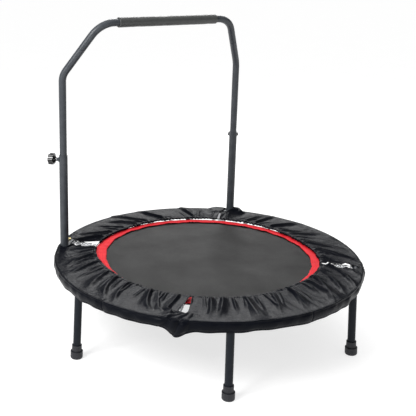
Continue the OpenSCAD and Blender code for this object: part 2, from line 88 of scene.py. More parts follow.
BOLT_LOW, BOLT_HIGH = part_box("bracket_bolts")
BOLT_R = (BOLT_HIGH.y - BOLT_LOW.y) / 2
BOLTS = {"left": Vector((BOLT_LOW.x + BOLT_R, BOLT_LOW.y + BOLT_R)),
         "right": Vector((BOLT_HIGH.x - BOLT_R, BOLT_LOW.y + BOLT_R))}
SPRINGS = 32
SPRINGS_PER_ARC = SPRINGS // 4
SPRING_HINGE_ANGLE = math.radians(2.9)  # between a hinge and the spring beside it


def spring_azimuth(number):
    """The azimuth of one spring: evenly spread along each arc, the outermost close beside its hinges."""
    quarter, place = divmod(number, SPRINGS_PER_ARC)
    step = (TURN / 4 - 2 * SPRING_HINGE_ANGLE) / (SPRINGS_PER_ARC - 1)
    return FOLD_AZIMUTH + quarter * TURN / 4 + SPRING_HINGE_ANGLE + place * step


# ---------------------------------------------------------------- curves and noise


def smooth(low, high, x):
    """0 up to low, 1 from high, and a smooth ramp between."""
    t = np.clip((x - low) / (high - low), 0, 1)
    return t * t * (3 - 2 * t)


def mix(a, b, t):
    """The value a share t of the way from a to b."""
    return a + (b - a) * t


def turn_distance(angle, centre):
    """The signed angle from centre to angle, the short way round."""
    return (angle - centre + math.pi) % TURN - math.pi


def ripple(angle, slowest, fastest, seed, count=24):
    """Smooth noise round the ring, about -1 to 1, whose waves go round it slowest to fastest times."""
    rng = np.random.default_rng(seed)
    total = np.zeros_like(np.asarray(angle, float))
    for times, phase in zip(rng.integers(slowest, fastest + 1, count), rng.uniform(0, TURN, count)):
        total += np.cos(times * angle + phase)
    return total / math.sqrt(count)


def crumple(angle, along, slowest, fastest, seed, count=40, slope=5):
    """Smooth noise over the cloth, about -1 to 1, by the angle round the ring and the share along."""
    rng = np.random.default_rng(seed)
    total = np.zeros_like(np.asarray(angle, float))
    for _ in range(count):
        times = rng.integers(slowest, fastest + 1)
        total += np.cos(times * angle + rng.uniform(-slope, slope) * TURN * along + rng.uniform(0, TURN))
    return total / math.sqrt(count)


# ---------------------------------------------------------------- mesh helpers


def mesh_piece(name, points, faces, material, slot, smooth_shaded=True):
    """A new object from points and faces."""
    mesh = bpy.data.meshes.new(name)
    mesh.from_pydata([tuple(p) for p in points], [], faces)
    mesh.materials.append(material)
    mesh.polygons.foreach_set("use_smooth", [smooth_shaded] * len(mesh.polygons))
    mesh.update()
    piece = bpy.data.objects.new(name, mesh)
    bpy.context.scene.collection.objects.link(piece)
    return piece


def set_map(piece, name, across):
    """A UV map from one (u, v) pair for each vertex."""
    layer = piece.data.uv_layers.new(name=name)
    corner = np.zeros(len(piece.data.loops), int)
    piece.data.loops.foreach_get("vertex_index", corner)
    layer.data.foreach_set("uv", np.asarray(across, float)[corner].ravel())


def set_value(piece, name, values):
    """One number for each vertex, for a material to read."""
    attribute = piece.data.attributes.new(name, "FLOAT", "POINT")
    attribute.data.foreach_set("value", np.asarray(values, np.float32))


def grid_faces(rows, columns, closed_columns=False, closed_rows=False, start=0):
    """Quads of a grid of points stored row after row."""
    faces = []
    for row in range(rows if closed_rows else rows - 1):
        for column in range(columns if closed_columns else columns - 1):
            a = row * columns + column
            b = row * columns + (column + 1) % columns
            c = ((row + 1) % rows) * columns + (column + 1) % columns
            d = ((row + 1) % rows) * columns + column
            faces.append((start + a, start + b, start + c, start + d))
    return faces


def tube_mesh(path, radius, sides, closed=False):
    """Points and faces of a round tube along a path; radius is one number, or one for each point."""
    path = np.asarray(path, float)
    count = len(path)
    radius = np.broadcast_to(radius, count)
    if closed:
        along = np.roll(path, -1, 0) - np.roll(path, 1, 0)
    else:
        along = np.gradient(path, axis=0)
    along /= np.linalg.norm(along, axis=1)[:, None]
    side = np.cross(along[0], (0, 0, 1.0))
    if np.linalg.norm(side) < 0.1:
        side = np.cross(along[0], (1.0, 0, 0))
    side /= np.linalg.norm(side)
    points = []
    for i in range(count):
        side = side - along[i] * (side @ along[i])
        side /= np.linalg.norm(side)
        up = np.cross(side, along[i])
        angles = np.arange(sides) * TURN / sides
        circle = np.cos(angles)[:, None] * side + np.sin(angles)[:, None] * up
        points.append(path[i] + radius[i] * circle)
    points = np.concatenate(points)
    faces = grid_faces(count, sides, closed_columns=True, closed_rows=closed)
    if not closed:
        faces.append(tuple(range(sides)))
        faces.append(tuple(reversed(range((count - 1) * sides, count * sides))))
    return points, faces


def joined(parts):
    """One list of points and faces from several."""
    points, faces, start = [], [], 0
    for part_points, part_faces in parts:
        points.append(part_points)
        faces += [tuple(start + i for i in face) for face in part_faces]
        start += len(part_points)
    return np.concatenate(points), faces


def blend_at_fold(piece):
    """Bakes the piece's transform into its mesh; it does not follow either half of the frame at the fold.
    """
    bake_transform(piece)


# ---------------------------------------------------------------- materials


class Shader:
    """A short way to wire the nodes of one Principled material."""

    def __init__(self, name, **sockets):
        self.material = bpy.data.materials.new(name)
        self.material.use_nodes = True
        self.tree = self.material.node_tree
        self.surface = self.tree.nodes["Principled BSDF"]
        for socket, value in sockets.items():
            self.surface.inputs[socket.replace("_", " ")].default_value = value

    def node(self, kind, inputs=None, **settings):
        """A new node, with its settings and inputs; an input is a number or another node's output."""
        made = self.tree.nodes.new("ShaderNode" + kind)
        for setting, value in settings.items():
            setattr(made, setting, value)
        for socket, value in (inputs or {}).items():
            self.put(value, made.inputs[socket])
        return made

    def put(self, value, socket):
        """Links an output to a socket, or sets the socket's own value."""
        if isinstance(value, bpy.types.NodeSocket):
            self.tree.links.new(value, socket)
        else:
            socket.default_value = value

    def place(self, scale=(1, 1, 1)):
        """Object coordinates, in metres, times a scale."""
        where = self.node("TexCoord").outputs["Object"]
        return self.node("Mapping", {"Vector": where, "Scale": scale}).outputs["Vector"]

    def cloth_map(self, name, scale=(1, 1, 1)):
        """The cloth's own map, in metres, times a scale."""
        where = self.node("UVMap", uv_map=name).outputs["UV"]
        return self.node("Mapping", {"Vector": where, "Scale": scale}).outputs["Vector"]

    def noise(self, where, scale, detail=3.0, roughness=0.55):
        inputs = {"Vector": where, "Scale": scale, "Detail": detail, "Roughness": roughness}
        return self.node("TexNoise", inputs).outputs["Fac"]

    def math(self, operation, a, b=0.0):
        return self.node("Math", {0: a, 1: b}, operation=operation).outputs[0]

    def range(self, value, low, high, to_low, to_high):
        inputs = {"Value": value, "From Min": low, "From Max": high, "To Min": to_low, "To Max": to_high}
        return self.node("MapRange", inputs).outputs["Result"]

    def colours(self, factor, first, second):
        made = self.node("Mix", data_type="RGBA")
        self.put(factor, made.inputs["Factor"])
        self.put((*first, 1) if isinstance(first, tuple) else first, made.inputs["A"])
        self.put((*second, 1) if isinstance(second, tuple) else second, made.inputs["B"])
        return made.outputs["Result"]

    def bump(self, height, distance, strength=1.0, under=None):
        inputs = {"Height": height, "Distance": distance, "Strength": strength}
        if under is not None:
            inputs["Normal"] = under
        return self.node("Bump", inputs).outputs["Normal"]

    def colour(self, value):
        self.put(value, self.surface.inputs["Base Color"])

    def rough(self, value):
        self.put(value, self.surface.inputs["Roughness"])

    def normal(self, value):
        self.put(value, self.surface.inputs["Normal"])


def powder_coat(name, colour, dust, shine):
    """Dark baked paint with the fine ripple of powder coat and paler rubbed patches."""
    s = Shader(name, Specular_IOR_Level=shine)
    where = s.place()
    patches = s.range(s.noise(where, 38, 5), 0.38, 0.72, 0.0, 1.0)
    s.colour(s.colours(patches, colour, dust))
    s.rough(s.range(s.noise(where, 90, 4), 0.3, 0.7, 0.34, 0.46))
    s.normal(s.bump(s.noise(where, 900, 2), 0.00012, 0.5))
    return s.material


def plated(name, colour, dull, roughness):
    """Plated steel: a metal with cloudy passivation and fine scratches."""
    s = Shader(name, Metallic=1.0)
    where = s.place()
    cloud = s.range(s.noise(where, 140, 5), 0.35, 0.7, 0.0, 1.0)
    s.colour(s.colours(cloud, colour, dull))
    s.rough(s.range(s.noise(where, 260, 4), 0.3, 0.7, roughness - 0.08, roughness + 0.12))
    s.normal(s.bump(s.noise(s.place((1, 1, 6)), 700, 2), 0.00006, 0.5))
    return s.material


def moulded(name, colour, worn, roughness, grain):
    """Moulded plastic or rubber with a fine grained surface and paler scuffs."""
    s = Shader(name, Specular_IOR_Level=0.5)
    where = s.place()
    scuffs = s.range(s.noise(where, 120, 6, 0.65), 0.5, 0.78, 0.0, 1.0)
    s.colour(s.colours(scuffs, colour, worn))
    s.rough(s.range(s.noise(where, 200, 3), 0.3, 0.7, roughness - 0.05, roughness + 0.08))
    s.normal(s.bump(s.noise(where, 1400, 2), grain, 0.6))
    return s.material


def foam_rubber(name):
    """Closed-cell foam: satin, with tiny open pores."""
    s = Shader(name, Specular_IOR_Level=0.55)
    where = s.place()
    pores = s.node("TexVoronoi", {"Vector": where, "Scale": 1500.0}).outputs["Distance"]
    cloud = s.range(s.noise(where, 60, 4), 0.3, 0.7, 0.0, 1.0)
    s.colour(s.colours(cloud, (0.040, 0.042, 0.041), (0.050, 0.052, 0.051)))
    s.rough(s.range(pores, 0.0, 0.6, 0.56, 0.44))
    s.normal(s.bump(pores, 0.00006, 0.4))
    return s.material


def woven_cover(name):
    """Coated polyester: a fine plain weave, stitched seams and a soft sheen on the folds."""
    s = Shader(name, Specular_IOR_Level=0.068)
    where = s.cloth_map("cloth")
    split = s.node("SeparateXYZ", {"Vector": where})
    u, v = split.outputs["X"], split.outputs["Y"]
    thread = TURN / 0.0006
    warp = s.math("SINE", s.math("MULTIPLY", u, thread))
    weft = s.math("SINE", s.math("MULTIPLY", v, thread))
    weave = s.math("MULTIPLY", warp, weft)
    fade = s.range(s.noise(where, 22, 5), 0.3, 0.72, 0.0, 1.0)
    s.colour(s.colours(fade, (0.0014, 0.0020, 0.0042), (0.0032, 0.0040, 0.0070)))
    s.rough(s.range(s.noise(where, 70, 4), 0.3, 0.7, 0.31, 0.43))
    crinkle = s.bump(s.noise(where, 95, 6, 0.62), 0.0020, 0.65)
    stitch = s.node("Attribute", attribute_name="stitch").outputs["Fac"]
    sewn = s.bump(stitch, -0.0008, 0.8, crinkle)
    s.normal(s.bump(weave, 0.00005, 0.35, sewn))
    return s.material


def woven_mat(name):
    """Woven polypropylene: crossing flat tapes, faint streaks and rubbed patches."""
    s = Shader(name, Specular_IOR_Level=0.062)
    where = s.cloth_map("cloth")
    split = s.node("SeparateXYZ", {"Vector": where})
    tape = TURN / 0.0022
    across = s.math("SINE", s.math("MULTIPLY", split.outputs["X"], tape))
    along = s.math("SINE", s.math("MULTIPLY", split.outputs["Y"], tape))
    weave = s.math("MULTIPLY", across, along)
    streaks = s.noise(s.cloth_map("cloth", (3, 90, 1)), 2.2, 6, 0.6)
    patches = s.noise(where, 7, 4)
    tone = s.math("ADD", s.math("MULTIPLY", streaks, 0.6), s.math("MULTIPLY", patches, 0.4))
    rubbed = s.range(tone, 0.32, 0.68, 0.0, 1.0)
    plain = s.colours(rubbed, (0.0078, 0.0079, 0.0078), (0.0118, 0.0119, 0.0118))
    s.colour(s.colours(s.range(weave, -1.0, 1.0, 0.0, 0.25), plain, (0.018, 0.018, 0.018)))
    s.rough(s.range(patches, 0.3, 0.7, 0.42, 0.55))
    s.normal(s.bump(weave, 0.00012, 0.45))
    return s.material


def woven_band(name):
    """Red webbing: cords running along the band, cross ribs and four rows of stitching."""
    s = Shader(name, Specular_IOR_Level=0.12)
    where = s.cloth_map("cloth")
    split = s.node("SeparateXYZ", {"Vector": where})
    u, v = split.outputs["X"], split.outputs["Y"]
    cords = s.math("SINE", s.math("MULTIPLY", v, TURN / 0.0031))
    ribs = s.math("SINE", s.math("MULTIPLY", u, TURN / 0.0016))
    row = s.math("PINGPONG", s.math("ADD", v, 0.0022), 0.0038)
    dashes = s.math("GREATER_THAN", s.math("SINE", s.math("MULTIPLY", u, TURN / 0.0042)), -0.45)
    stitch = s.math("MULTIPLY", s.math("LESS_THAN", row, 0.0006), dashes)
    cloud = s.range(s.noise(where, 30, 5), 0.3, 0.72, 0.0, 1.0)
    cloth = s.colours(cloud, (0.62, 0.012, 0.022), (0.78, 0.030, 0.040))
    # painted shade: the grooves between the cords are coloured a darker red
    groove_painted_shade = s.colours(s.range(cords, -1.0, -0.1, 0.4, 0.0), cloth, (0.42, 0.003, 0.010))
    s.colour(s.colours(s.math("MULTIPLY", stitch, 0.7), groove_painted_shade, (0.42, 0.012, 0.02)))
    s.rough(s.range(cloud, 0.0, 1.0, 0.55, 0.7))
    woven = s.bump(s.math("ADD", cords, s.math("MULTIPLY", ribs, 0.4)), 0.00025, 0.7)
    s.normal(s.bump(stitch, 0.0004, 0.8, woven))
    return s.material


MATERIALS = {
    "frame_paint": powder_coat("frame_paint_coat", (0.0085, 0.0108, 0.015), (0.013, 0.016, 0.021), 0.12),
    "handle_paint": powder_coat("handle_paint_coat", (0.036, 0.041, 0.048), (0.052, 0.058, 0.066), 0.35),
    "zinc_steel": plated("zinc_plate", (0.66, 0.66, 0.67), (0.48, 0.49, 0.51), 0.34),
    "spring_steel": plated("bright_spring_wire", (0.78, 0.79, 0.80), (0.60, 0.61, 0.63), 0.26),
    "yellow_zinc": plated("yellow_zinc_plate", (0.78, 0.62, 0.25), (0.56, 0.48, 0.26), 0.30),
    "mat_weave": woven_mat("mat_tape_weave"),
    "red_webbing": woven_band("red_band_weave"),
    "cover_fabric": woven_cover("coated_polyester"),
    "elastic": moulded("braided_elastic", (0.012, 0.012, 0.013), (0.03, 0.03, 0.03), 0.7, 0.0003),
    "foot_rubber": moulded("foot_rubber_black", (0.009, 0.01, 0.014), (0.02, 0.022, 0.027), 0.55, 0.00012),
    "saddle_plastic": moulded("saddle_black", (0.015, 0.015, 0.016), (0.04, 0.04, 0.042), 0.5, 0.0001),
    "knob_plastic": moulded("knob_gloss_black", (0.002, 0.002, 0.0025), (0.005, 0.005, 0.006), 0.11, 1e-5),
    "grip_foam": foam_rubber("grip_foam_cells"),
}


def dress_frame():
    """Gives every CAD node the procedural material of its slot."""
    for node in frame["nodes"].values():
        for material_slot in node.material_slots:
            material_slot.material = MATERIALS[material_slot.material.name.split(".")[0]]


# ---------------------------------------------------------------- the skirt cover

FRONT = math.radians(231.5)  # the side that the gathers lean towards
HEM_R = MAT_R - 0.015
HEM_SHIFT = 0.018  # the elastic hem sits this far off centre, away from the front
HEM_CORNER = 0.009  # and this far out at the slits
HEM_WAVE = 0.003  # how far the hem's waves wander in and out at the back
HEM_Z = COVER_HIGH - 0.0048
HEM_TUBE = 0.003  # the radius of the tube that the hem's elastic runs in
CREASE_R = COVER_R - 0.0025
CREASE_Z = COVER_HIGH - 0.0035
CREASE_BEND = 0.002  # the radius of the cloth's bend there
WALL_IN = 0.004  # how far the wall leans in at its foot
WALL_BULGE = 0.0025
WALL_SEAMS = math.radians(196) + np.arange(5) * TURN / 5  # the side wall is sewn from five lengths
SEAM_WIDTH = 0.0022
SEAM_DEPTH = 0.0016
PANEL_R = COVER_R - 0.080  # where the widths of the gathers are measured
MAP_R = COVER_R - 0.070  # where the cloth's map is true to size round the ring
PUCKER = 0.0022  # the fine puckers beside the hem
PANEL_CREASE, PANEL_SMALL_CREASE = 0.0011, 0.0004
WALL_FOLD, WALL_WAVE = 0.0011, 0.0009  # the wall's folds, and waves that fade towards its foot
HEM_RIPPLE_OUT, HEM_RIPPLE_UP = 0.0016, 0.0010
FOOT_RIPPLE = 0.0016  # the ripple of the wall's lower edge
CLOTH_T = 0.0007
PANEL_SAG = 0.003  # how far the top panel sags between the hem and the crease

# the two families of gathers: a seed, the number of ridges, their height, their half width at the
# hem, how much wider they get on the way out, and how far out they run
GATHERS = [
    {"seed": 7, "count": 34, "tall": (0.0055, 0.0125), "width": (0.010, 0.017), "spread": 1.1,
     "length": (0.85, 1.3)},
    {"seed": 8, "count": 72, "tall": (0.0026, 0.0068), "width": (0.004, 0.008), "spread": 1.4,
     "length": (0.3, 0.9)},
]
LEAN = math.radians(15)  # the most that a ridge leans round the ring on its way out
LEAN_SPREAD = math.radians(3.2)  # and how much that varies from ridge to ridge

# where the cloth stands up, how high, and how much its folds pinch that
RUFFS = [(POSTS["left"], 0.003, 0.0), (POSTS["right"], 0.012, 0.2), (BOLTS["right"], 0.0085, 0.0)]
RUFF_WIDTH = 0.016
RUFF_LOBES = 5

BUNCH_SHIFT = -0.026  # how far beside its slit the cloth bunches up
BUNCH_SAG = 0.0215  # how far the wall's foot sags there
BUNCH_OUT = 0.007  # and how far it is pushed out
BUNCH_REACH, BUNCH_SHORT_REACH = 0.040, 0.018  # ahead of it round the ring, and behind it
BUNCH_FOLD = 0.0042  # the width of the bunch's folds at the slit's tip
BUNCH_FOLD_OUT, BUNCH_FOLD_UP = 0.0085, 0.0075

SLIT_HOLE_R = POST_R + 0.003
SLIT_TURNS = (0.030, 0.010)  # where the slit's edges turn into the hole, from the post inwards
SLIT_REACH = 0.075  # the cloth beside a slit moves aside, less and less over about this width
SLIT_RIM = 0.0035  # the width of the rolled edge along a slit
SLIT_RIM_UP, SLIT_BEAD, SLIT_BEAD_STEP = 0.0012, 0.0006, 0.0016  # its height, and the beads along it
SLIT_SEWN = 0.006

HEM_ROWS, PANEL_ROWS, CREASE_ROWS, WALL_ROWS = 8, 40, 4, 12
CREASE_ROW = HEM_ROWS + PANEL_ROWS
WALL_ROW = CREASE_ROW + CREASE_ROWS
SECTOR_COLUMNS = 360
COLUMN_STEP = TURN / 4 / SECTOR_COLUMNS


def hem_radius(angle):
    """Where the cover's elastic inner hem lies."""
    off_centre = -HEM_SHIFT * np.cos(angle - FRONT)
    corners = HEM_CORNER * np.cos(4 * (angle - FOLD_AZIMUTH)) * np.sin(angle - FRONT) ** 2
    at_back = smooth(0, 1, -np.cos(angle - FRONT))
    return HEM_R + off_centre + corners - at_back * (0.001 + HEM_WAVE * ripple(angle, 18, 40, 41, 12))


class Slit:
    """A slit of the cover over one hinge, from the hem outwards. It may end round a handle post.

    hem_gap is half its width at the hem. widest is what is added to that on the way out, or half its
    width near a post. shift is how far aside it bends, flare how late it widens and bends, and blunt
    how blunt its tip is. beyond is how far past its own line it opens on the side away from the post.
    """

    def __init__(self, azimuth, hem_gap, widest, tip=0.0, shift=0.0, flare=1.0, blunt=4, post=None,
                 beyond=0.0):
        self.azimuth = azimuth
        self.hem_gap = hem_gap
        self.widest = widest
        self.tip = tip
        self.shift = shift
        self.flare = flare
        self.blunt = blunt
        self.beyond = beyond
        self.post = 0.0
        if post is not None:
            self.post = turn_distance(math.atan2(post.y, post.x), azimuth) * post.length
            self.post_r = post.length
            self.tip = self.post_r + SLIT_HOLE_R

    def edges(self, r):
        """The signed distances along the ring from the slit's line to its two edges, at radius r."""
        start = hem_radius(self.azimuth)
        if self.post:
            return self.edges_round_post(r, start)
        t = np.clip((r - start) / (self.tip - start), 0, 1)
        closing = np.sqrt(np.clip(1 - t ** self.blunt, 0, 1))
        half = (self.hem_gap + self.widest * t ** self.flare) * closing
        centre = self.shift * t ** self.flare * closing
        return centre - half, centre + half

    def edges_round_post(self, r, start):
        """The same for a slit that ends in a hole round a handle post."""
        side = math.copysign(1, self.post)
        past = np.clip(1 - ((r - self.post_r) / SLIT_HOLE_R) ** 2, 0, 1)
        opening = np.where(r < self.post_r, 1, np.sqrt(past))
        vee = mix(self.hem_gap, self.widest, np.clip((r - start) / (self.post_r - start), 0, 1))
        round_post = smooth(self.post_r - SLIT_TURNS[0], self.post_r - SLIT_TURNS[1], r)
        centre = side * (abs(self.post) / 2 - 0.004)
        near = centre - (centre + side * self.beyond) * opening
        far = centre + (self.post + side * SLIT_HOLE_R - centre) * opening
        first = mix(-side * vee, near, round_post)
        second = mix(side * vee, far, round_post)
        return (first, second) if side > 0 else (second, first)


SLITS = [
    Slit(FOLD_AZIMUTH, 0.004, 0.003, post=POSTS["right"], beyond=-0.010),
    Slit(FOLD_AZIMUTH + TURN / 4, 0.026, 0.016, post=POSTS["left"], beyond=0.031),
    Slit(FOLD_AZIMUTH + TURN / 2, 0.003, 0.018, tip=COVER_R - 0.046, shift=-0.015, flare=1.7, blunt=8),
    Slit(FOLD_AZIMUTH + 3 * TURN / 4, 0.002, 0.028, tip=COVER_R - 0.014, shift=0.004, blunt=3),
]
BUNCHES = [(SLITS[2], 1.0), (SLITS[3], 0.35)]  # the slits that end in bunched cloth, and how strongly


def profile(angle):
    """The cover's cross-section without folds: for each row its radius, height and outward direction."""
    hem = hem_radius(angle)
    rows = []
    for turn in np.linspace(math.radians(-70), math.radians(-270), HEM_ROWS, endpoint=False):
        out, up = math.cos(turn), math.sin(turn)
        rows.append((hem + HEM_TUBE * (1 + out), HEM_Z + HEM_TUBE * up, (out, up)))
    for t in np.linspace(0, 1, PANEL_ROWS):
        height = mix(HEM_Z + HEM_TUBE, CREASE_Z, float(smooth(0, 0.9, t)))
        rows.append((mix(hem + HEM_TUBE, CREASE_R - CREASE_BEND, t), height, (0.0, 1.0)))
    for turn in np.linspace(0, math.pi / 2, CREASE_ROWS + 2)[1:-1]:
        out, up = math.sin(turn), math.cos(turn)
        rows.append((CREASE_R - CREASE_BEND * (1 - out), CREASE_Z - CREASE_BEND * (1 - up), (out, up)))
    for t in np.linspace(0, 1, WALL_ROWS):
        bulge = WALL_BULGE * math.sin(math.pi * min(1, t * 1.15))
        height = mix(CREASE_Z - CREASE_BEND, COVER_LOW, t)
        rows.append((CREASE_R + bulge - WALL_IN * t ** 2, height, (1.0, 0.0)))
    return rows


def ridges(angle, out, seed, count, tall, width, spread, length):
    """Height of one family of gathers: tents from the hem outwards, leaning towards the front."""
    rng = np.random.default_rng(seed)
    height = np.zeros_like(angle)
    starts = (np.arange(count) + rng.uniform(-0.4, 0.4, count)) * TURN / count
    for start in starts:
        lean = -LEAN * math.sin(turn_distance(start, FRONT)) * rng.uniform(0.7, 1.3)
        lean += rng.normal(0, LEAN_SPREAD)
        run = rng.uniform(*length)
        crest = start + lean * out ** rng.uniform(0.9, 1.4)
        side = turn_distance(angle, crest) * PANEL_R
        steep = np.where(side * math.copysign(1, lean) > 0, 0.6, 1.3)
        wide = rng.uniform(*width) * (1 + spread * out) * steep
        tent = np.clip(1 - np.abs(side) / wide, 0, 1) ** 1.3
        fade = smooth(-0.03, 0.12, out) * (1 - smooth(0.5 * run, run, out))
        height = np.maximum(height, rng.uniform(*tall) * tent * fade)
    return height


class Cover:
    """The skirt cover's cloth in one piece, as rows of points from the hem to the foot of the wall."""

    def __init__(self):
        self.sector = np.repeat(np.arange(len(SLITS)), SECTOR_COLUMNS + 1)
        column = np.tile(np.arange(SECTOR_COLUMNS + 1), len(SLITS))
        first_azimuth = np.array([slit.azimuth for slit in SLITS])[self.sector]
        self.azimuth = first_azimuth + column * COLUMN_STEP
        rows = profile(self.azimuth)
        shape = (len(rows), len(self.azimuth))
        self.radius = np.array([np.broadcast_to(row[0], shape[1]) for row in rows])
        self.height = np.array([np.broadcast_to(row[1], shape[1]) for row in rows])
        self.outward = np.array([row[2] for row in rows])
        self.angle = np.broadcast_to(self.azimuth, shape).copy()
        self.row = np.broadcast_to(np.arange(len(rows))[:, None], shape)
        panel_start = hem_radius(self.azimuth) + HEM_TUBE
        # out is 0 at the hem and 1 at the crease, down is 0 at the crease and 1 at the wall's foot
        self.out = np.clip((self.radius - panel_start) / (CREASE_R - panel_start), 0, 1)
        self.down = np.clip((self.row - WALL_ROW) / (WALL_ROWS - 1), 0, 1)
        self.on_wall = smooth(CREASE_ROW, WALL_ROW, self.row)
        self.seam = self.wall_seams()
        self.slit_edge = np.zeros(shape)

    def wall_seams(self):
        """1 along the seams across the side wall."""
        seam = np.zeros_like(self.azimuth)
        for azimuth in WALL_SEAMS:
            away = turn_distance(self.azimuth, azimuth) * COVER_R
            seam = np.maximum(seam, np.exp(-(away / SEAM_WIDTH) ** 2))
        return seam * smooth(0.8, 1.0, self.out)

    def panel_folds(self):
        """How far the gathers, puckers and creases lift the top panel."""
        angle, out = self.angle, self.out
        lift = np.zeros_like(angle)
        for family in GATHERS:
            lift = np.maximum(lift, ridges(angle, out, **family))
        pucker = np.abs(ripple(angle, 110, 190, 3, 40)) ** 0.8 - 0.5
        at_hem = np.clip(1 - out * 6, 0, 1)
        lift += PUCKER * pucker * np.exp(-out * 8) * (1 - 0.6 * at_hem)
        creases = crumple(angle, out, 10, 30, 11, slope=0.8)
        lift += PANEL_CREASE * creases * smooth(0.05, 0.4, out) * (1 - smooth(0.85, 1.0, out))
        small_creases = crumple(angle, out, 40, 110, 12, slope=2.0)
        lift += PANEL_SMALL_CREASE * small_creases * smooth(0, 0.25, out) * (1 - smooth(0.86, 1.0, out))
        lift -= PANEL_SAG * np.sin(math.pi * out)
        return lift * (1 - self.on_wall)

    def wall_folds(self):
        """How far the side wall's folds push it out and its seams pull it in."""
        folds = WALL_FOLD * crumple(self.angle, self.down, 22, 60, 21, slope=0.4)
        folds += WALL_WAVE * ripple(self.angle, 30, 90, 22) * (1 - self.down)
        return folds * self.on_wall * smooth(0, 0.2, self.down) - SEAM_DEPTH * self.seam

    def fold(self):
        """Gathers and creases everywhere, and ripples along both hems."""
        lift = self.panel_folds() + self.wall_folds()
        self.radius += lift * self.outward[:, :1]
        self.height += lift * self.outward[:, 1:]
        at_hem = 1 - np.clip((self.row - HEM_ROWS) / 3, 0, 1)
        self.radius += at_hem * HEM_RIPPLE_OUT * ripple(self.angle, 130, 240, 5, 40)
        self.height += at_hem * HEM_RIPPLE_UP * ripple(self.angle, 110, 220, 6, 40)
        self.height += self.down * FOOT_RIPPLE * ripple(self.angle, 6, 40, 23)

    def bunch_up(self, slit, depth):
        """Bunched and sagging cloth where a front slit ends."""
        along = turn_distance(self.angle, slit.azimuth)
        away = along * COVER_R - BUNCH_SHIFT * depth
        near = np.exp(-(away / np.where(away < 0, BUNCH_SHORT_REACH, BUNCH_REACH)) ** 2)
        beyond = smooth(slit.tip - 0.012, slit.tip + 0.012, self.radius)
        self.height -= depth * BUNCH_SAG * near * self.down ** 0.7
        self.radius += depth * BUNCH_OUT * near * self.on_wall * (1 - 0.7 * self.down)
        across = along * self.radius - BUNCH_SHIFT * depth * smooth(slit.tip, COVER_R, self.radius)
        fold_width = BUNCH_FOLD + 0.12 * np.clip(self.radius - slit.tip, 0, 1) + 0.003 * self.down
        folds = np.abs(np.cos(across / fold_width + 2.2 * self.down)) ** 0.6 - 0.6
        folds *= np.exp(-(across / BUNCH_REACH) ** 2)
        self.radius += depth * BUNCH_FOLD_OUT * folds * self.on_wall
        self.height += depth * BUNCH_FOLD_UP * folds * (1 - self.on_wall) * beyond

    def push_up_round_posts(self):
        """The ruffs of cloth round the posts and a bolt."""
        ruff = np.zeros_like(self.radius)
        for place, tall, pinch in RUFFS:
            x = self.radius * np.cos(self.angle) - place.x
            y = self.radius * np.sin(self.angle) - place.y
            away = np.clip(np.hypot(x, y) - POST_R - 0.004, 0, 1)
            folds = 1 + pinch * np.cos(RUFF_LOBES * np.arctan2(y, x))
            ruff = np.maximum(ruff, tall * np.exp(-(away / RUFF_WIDTH) ** 2) * folds)
        self.height += ruff * (1 - self.down)

    def open_slit(self, number, slit):
        """Moves the cloth on both sides of a slit apart, and rolls its edges up."""
        along = turn_distance(self.angle, slit.azimuth)
        side = np.sign(along)
        at_slit = np.abs(along[0]) < COLUMN_STEP / 2
        side[:, at_slit & (self.sector == number)] = 1
        side[:, at_slit & (self.sector != number)] = -1
        low, high = slit.edges(self.radius)
        distance = np.abs(along) * self.radius
        fall = np.exp(-distance / SLIT_REACH) * (1 - smooth(0.10, 0.26, distance))
        self.angle = self.angle + np.where(side > 0, high, low) * fall / self.radius
        opened = smooth(0, 0.003, high - low)
        rim = np.exp(-distance / SLIT_RIM) * opened * (1 - self.on_wall)
        self.height += rim * (SLIT_RIM_UP + SLIT_BEAD * np.sin(self.radius / SLIT_BEAD_STEP + 2 * number))
        self.slit_edge = np.maximum(self.slit_edge, np.exp(-distance / SLIT_SEWN) * opened)

    def faces(self):
        """Quads between the rows, with no face across a slit."""
        rows, columns = self.radius.shape
        faces = []
        for row in range(rows - 1):
            for column in range(columns - 1):
                if (column + 1) % (SECTOR_COLUMNS + 1):
                    a = row * columns + column
                    faces.append((a, a + 1, a + columns + 1, a + columns))
        return faces

    def stitches(self):
        """1 where the cloth is sewn: along the hems, the crease, the wall's seams and the slits."""
        crease = CREASE_ROW + CREASE_ROWS // 2
        sewn_rows = np.isin(self.row, (HEM_ROWS + 2, crease - 3, crease + 3, len(self.row) - 3))
        return np.maximum(np.maximum(sewn_rows * 1.0, self.seam), smooth(0.5, 0.9, self.slit_edge))


def build_cover():
    """The skirt cover: hem, gathered top panel, crease and side wall, with a slit over each hinge."""
    cloth = Cover()
    cloth.fold()
    for slit, depth in BUNCHES:
        cloth.bunch_up(slit, depth)
    cloth.push_up_round_posts()
    for number, slit in enumerate(SLITS):
        cloth.open_slit(number, slit)
    across = [cloth.radius * np.cos(cloth.angle), cloth.radius * np.sin(cloth.angle)]
    points = np.stack([*across, cloth.height], -1)
    material = MATERIALS["cover_fabric"]
    piece = mesh_piece("skirt_cover", points.reshape(-1, 3), cloth.faces(), material, "cover_fabric")
    from_hem = np.cumsum(np.linalg.norm(np.diff(points, axis=0, prepend=points[:1]), axis=2), axis=0)
    round_ring = np.broadcast_to(cloth.azimuth * MAP_R, from_hem.shape)
    set_map(piece, "cloth", np.stack([round_ring, from_hem], -1).reshape(-1, 2))
    set_value(piece, "stitch", cloth.stitches().reshape(-1))
    weld(piece)
    give_thickness(piece, CLOTH_T)
    return piece


def weld(piece):
    """Joins the points that lie on each other, as where the cover closes beyond a slit."""
    work = bmesh.new()
    work.from_mesh(piece.data)
    bmesh.ops.remove_doubles(work, verts=work.verts, dist=2e-5)
    for edge in [edge for edge in work.edges if not edge.link_faces]:
        work.edges.remove(edge)
    bmesh.ops.recalc_face_normals(work, faces=work.faces)
    work.to_mesh(piece.data)
    work.free()


